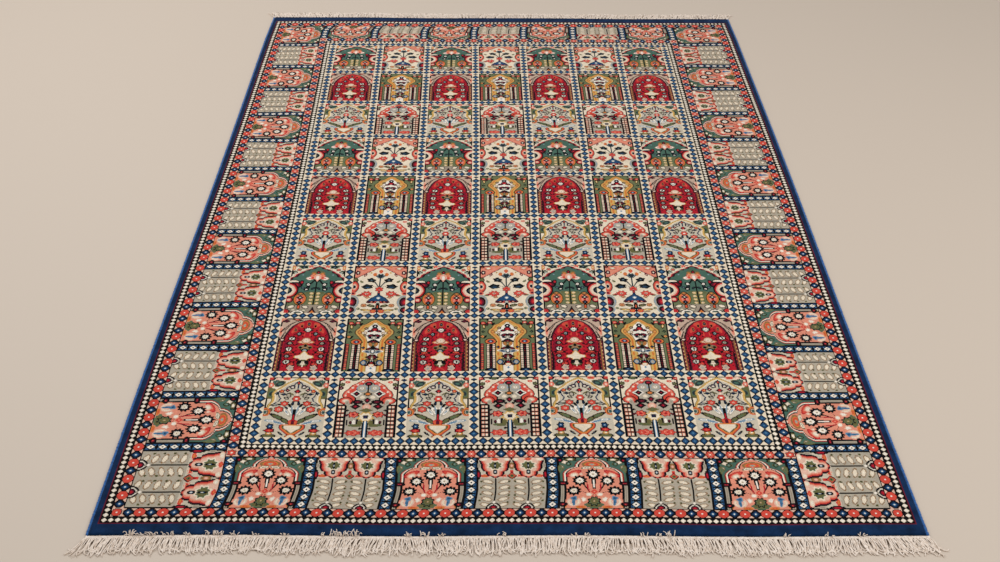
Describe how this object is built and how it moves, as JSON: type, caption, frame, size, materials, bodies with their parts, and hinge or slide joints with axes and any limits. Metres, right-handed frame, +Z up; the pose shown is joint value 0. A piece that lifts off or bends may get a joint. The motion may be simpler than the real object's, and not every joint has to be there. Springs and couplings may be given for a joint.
{
  "type": "persian rug",
  "caption": "Hand-knotted wool rug with a grid of garden panels and a panelled border, overcast side cords and a knotted warp fringe at both ends, lying flat.",
  "frame": {"origin": "centre of the whole rug's footprint, on the floor under it", "axes": "+Z up from the floor through the pile; +Y along the rug's length, towards the end that the panels' tops point to; +X across it, to the right of someone at the near end"},
  "size_m": [2.0688, 3.1156, 0.009],
  "materials": {
    "pile": "short cut wool pile, matt with a soft lustre",
    "selvedge": "wool yarn wrapped round the edge cords",
    "fringe": "undyed twisted cotton warp ends"
  },
  "bodies": {
    "root": {"rug": "pile", "selvedge_left": "selvedge", "selvedge_right": "selvedge", "fringe_near": "fringe", "fringe_far": "fringe"}
  },
  "joints": []
}
